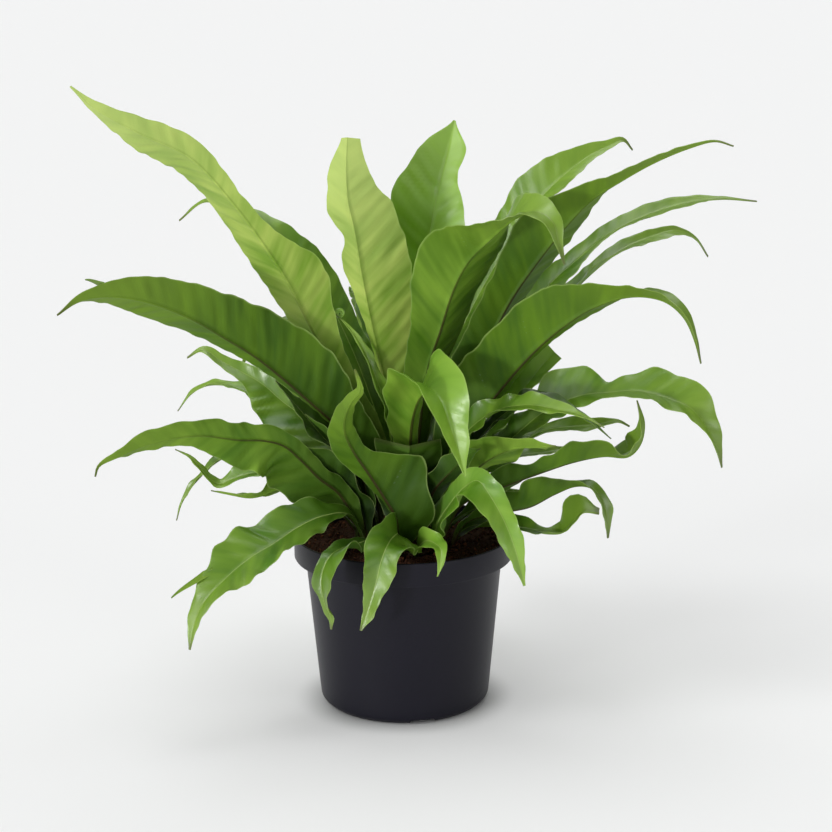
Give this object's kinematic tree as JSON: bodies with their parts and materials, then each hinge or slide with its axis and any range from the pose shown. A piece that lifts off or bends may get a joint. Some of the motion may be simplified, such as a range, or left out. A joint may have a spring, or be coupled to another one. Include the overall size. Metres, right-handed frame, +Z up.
{
  "type": "potted bird's nest fern",
  "caption": "Bird's nest fern with strap-shaped, waved, arching fronds in a rosette, growing from a crown in soil in a plain round nursery pot.",
  "frame": {"origin": "middle of the pot's underside, on the pot's axis, in the plane that the pot stands on", "axes": "+Z up along the pot's axis; the pictured front faces -Y and its right side is +X"},
  "size_m": [0.5193, 0.3531, 0.4848],
  "materials": {
    "frond": "satin waxy leaf, glossy on the upper face, with a pale or dark brown midrib",
    "crown": "rough fibrous leaf bases and brown scales",
    "soil": "coarse moist bark and peat crumbs",
    "pot": "satin dark charcoal moulded plastic"
  },
  "bodies": {
    "root": {"frond_01_left_high": "frond", "frond_02_left_high": "frond", "frond_03_front_high": "frond", "frond_04_back_high": "frond", "frond_05_left_high": "frond", "frond_06_left_middle": "frond", "frond_07_left_middle": "frond", "frond_08_left_middle": "frond", "frond_09_left_low": "frond", "frond_10_left_low": "frond", "frond_11_left_low": "frond", "frond_12_left_low": "frond", "frond_13_front_low": "frond", "frond_14_front_low": "frond", "frond_15_front_low": "frond", "frond_16_front_low": "frond", "frond_17_front_middle": "frond", "frond_18_right_high": "frond", "frond_19_right_high": "frond", "frond_20_right_high": "frond", "frond_21_right_high": "frond", "frond_22_right_high": "frond", "frond_23_right_high": "frond", "frond_24_right_middle": "frond", "frond_25_right_middle": "frond", "frond_26_right_middle": "frond", "frond_27_right_middle": "frond", "frond_28_right_middle": "frond", "frond_29_right_low": "frond", "frond_30_right_low": "frond", "frond_31_right_low": "frond", "frond_32_right_low": "frond", "frond_33_right_middle": "frond", "frond_34_left_middle": "frond", "frond_35_front_middle": "frond", "frond_36_front_middle": "frond", "frond_37_left_middle": "frond", "frond_38_left_middle": "frond", "frond_39_left_middle": "frond", "frond_40_front_middle": "frond", "frond_41_right_middle": "frond", "frond_42_back_middle": "frond", "frond_43_back_middle": "frond", "frond_44_back_middle": "frond", "frond_45_back_middle": "frond", "frond_46_back_middle": "frond", "frond_47_back_low": "frond", "frond_48_back_low": "frond", "frond_49_back_low": "frond", "frond_50_back_low": "frond", "crown": "crown", "soil": "soil", "pot": "pot"}
  },
  "joints": []
}
